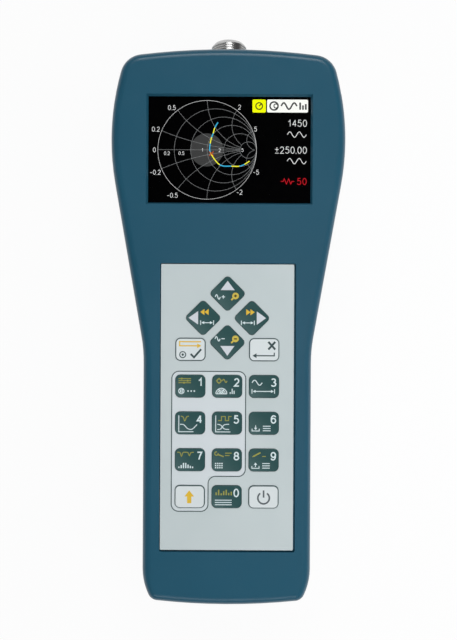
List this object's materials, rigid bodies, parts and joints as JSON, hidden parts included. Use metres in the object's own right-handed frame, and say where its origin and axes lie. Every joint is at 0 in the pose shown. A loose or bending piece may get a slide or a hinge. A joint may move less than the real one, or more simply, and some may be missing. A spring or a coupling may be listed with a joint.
{
  "type": "handheld antenna analyzer",
  "caption": "Handheld antenna analyzer: wide head with a colour display, narrower handle with a membrane keypad, threaded coaxial socket on the end, sliding battery cover on the back.",
  "frame": {"origin": "on the flat back, half way along the case and on its centre line", "axes": "+X to the right as seen from the front, +Y along the case towards the antenna socket, +Z from the back to the front"},
  "size_m": [0.0998, 0.2458, 0.0523],
  "materials": {
    "case_plastic": "fine satin texture",
    "window_glass": "polished acrylic",
    "black_foam": "closed-cell foam",
    "lcd_glass": "glossy",
    "light_guide": "translucent white",
    "sheet_steel": "tin plated",
    "flex_film": "amber film",
    "overlay_film": "fine matt polyester",
    "spacer_film": "matt",
    "circuit_board": "green solder mask",
    "chip_resin": "matt",
    "black_plastic": "matt",
    "zinc_steel": "zinc plated",
    "brass": "machined",
    "nickel_plating": "bright nickel",
    "white_insulator": "waxy",
    "gold_contact": "gold plated",
    "cell_sleeve": "shrink sleeve",
    "red_sleeve": "insulated wire",
    "label_film": "satin polyester",
    "key_plastic": "fine matt"
  },
  "bodies": {
    "housing": {"front_shell": "case_plastic", "rear_shell": "case_plastic", "display_window": "window_glass", "display_gasket": "black_foam", "lcd_panel": "lcd_glass", "lcd_backlight": "light_guide", "lcd_tray": "sheet_steel", "lcd_flex_cable": "flex_film", "keypad_overlay": "overlay_film", "keypad_spacer": "spacer_film", "keypad_circuit": "flex_film", "snap_domes": "sheet_steel", "main_board": "circuit_board", "rf_board": "circuit_board", "shield_can": "sheet_steel", "board_chips": "chip_resin", "flex_sockets": "black_plastic", "board_link": "black_plastic", "buzzer": "black_plastic", "board_screws": "zinc_steel", "case_screws": "zinc_steel", "threaded_inserts": "brass", "n_socket_body": "nickel_plating", "n_socket_insulator": "white_insulator", "n_socket_contact": "gold_contact", "flange_screws": "zinc_steel", "usb_socket_shell": "nickel_plating", "usb_socket_core": "black_plastic", "battery_cells": "cell_sleeve", "battery_springs": "nickel_plating", "battery_contacts": "nickel_plating", "battery_leads": "red_sleeve", "back_label": "label_film"},
    "cover": {"battery_cover": "case_plastic"},
    "button_up": {"key_up": "key_plastic"},
    "button_left": {"key_left": "key_plastic"},
    "button_right": {"key_right": "key_plastic"},
    "button_down": {"key_down": "key_plastic"},
    "button_ok": {"key_ok": "key_plastic"},
    "button_cancel": {"key_cancel": "key_plastic"},
    "button_1": {"key_1": "key_plastic"},
    "button_2": {"key_2": "key_plastic"},
    "button_3": {"key_3": "key_plastic"},
    "button_4": {"key_4": "key_plastic"},
    "button_5": {"key_5": "key_plastic"},
    "button_6": {"key_6": "key_plastic"},
    "button_7": {"key_7": "key_plastic"},
    "button_8": {"key_8": "key_plastic"},
    "button_9": {"key_9": "key_plastic"},
    "button_function": {"key_function": "key_plastic"},
    "button_0": {"key_0": "key_plastic"},
    "button_power": {"key_power": "key_plastic"}
  },
  "joints": [
    {"name": "cover_slide", "type": "slide", "parent": "housing", "child": "cover", "axis": [0, -1, 0], "range_m": [0, 0.09]},
    {"name": "press_up", "type": "slide", "parent": "housing", "child": "button_up", "axis": [0, 0, -1], "range_m": [0, 0.00045], "stiffness_N_per_m": 2000},
    {"name": "press_left", "type": "slide", "parent": "housing", "child": "button_left", "axis": [0, 0, -1], "range_m": [0, 0.00045], "stiffness_N_per_m": 2000},
    {"name": "press_right", "type": "slide", "parent": "housing", "child": "button_right", "axis": [0, 0, -1], "range_m": [0, 0.00045], "stiffness_N_per_m": 2000},
    {"name": "press_down", "type": "slide", "parent": "housing", "child": "button_down", "axis": [0, 0, -1], "range_m": [0, 0.00045], "stiffness_N_per_m": 2000},
    {"name": "press_ok", "type": "slide", "parent": "housing", "child": "button_ok", "axis": [0, 0, -1], "range_m": [0, 0.00045], "stiffness_N_per_m": 2000},
    {"name": "press_cancel", "type": "slide", "parent": "housing", "child": "button_cancel", "axis": [0, 0, -1], "range_m": [0, 0.00045], "stiffness_N_per_m": 2000},
    {"name": "press_1", "type": "slide", "parent": "housing", "child": "button_1", "axis": [0, 0, -1], "range_m": [0, 0.00045], "stiffness_N_per_m": 2000},
    {"name": "press_2", "type": "slide", "parent": "housing", "child": "button_2", "axis": [0, 0, -1], "range_m": [0, 0.00045], "stiffness_N_per_m": 2000},
    {"name": "press_3", "type": "slide", "parent": "housing", "child": "button_3", "axis": [0, 0, -1], "range_m": [0, 0.00045], "stiffness_N_per_m": 2000},
    {"name": "press_4", "type": "slide", "parent": "housing", "child": "button_4", "axis": [0, 0, -1], "range_m": [0, 0.00045], "stiffness_N_per_m": 2000},
    {"name": "press_5", "type": "slide", "parent": "housing", "child": "button_5", "axis": [0, 0, -1], "range_m": [0, 0.00045], "stiffness_N_per_m": 2000},
    {"name": "press_6", "type": "slide", "parent": "housing", "child": "button_6", "axis": [0, 0, -1], "range_m": [0, 0.00045], "stiffness_N_per_m": 2000},
    {"name": "press_7", "type": "slide", "parent": "housing", "child": "button_7", "axis": [0, 0, -1], "range_m": [0, 0.00045], "stiffness_N_per_m": 2000},
    {"name": "press_8", "type": "slide", "parent": "housing", "child": "button_8", "axis": [0, 0, -1], "range_m": [0, 0.00045], "stiffness_N_per_m": 2000},
    {"name": "press_9", "type": "slide", "parent": "housing", "child": "button_9", "axis": [0, 0, -1], "range_m": [0, 0.00045], "stiffness_N_per_m": 2000},
    {"name": "press_function", "type": "slide", "parent": "housing", "child": "button_function", "axis": [0, 0, -1], "range_m": [0, 0.00045], "stiffness_N_per_m": 2000},
    {"name": "press_0", "type": "slide", "parent": "housing", "child": "button_0", "axis": [0, 0, -1], "range_m": [0, 0.00045], "stiffness_N_per_m": 2000},
    {"name": "press_power", "type": "slide", "parent": "housing", "child": "button_power", "axis": [0, 0, -1], "range_m": [0, 0.00045], "stiffness_N_per_m": 2000}
  ]
}
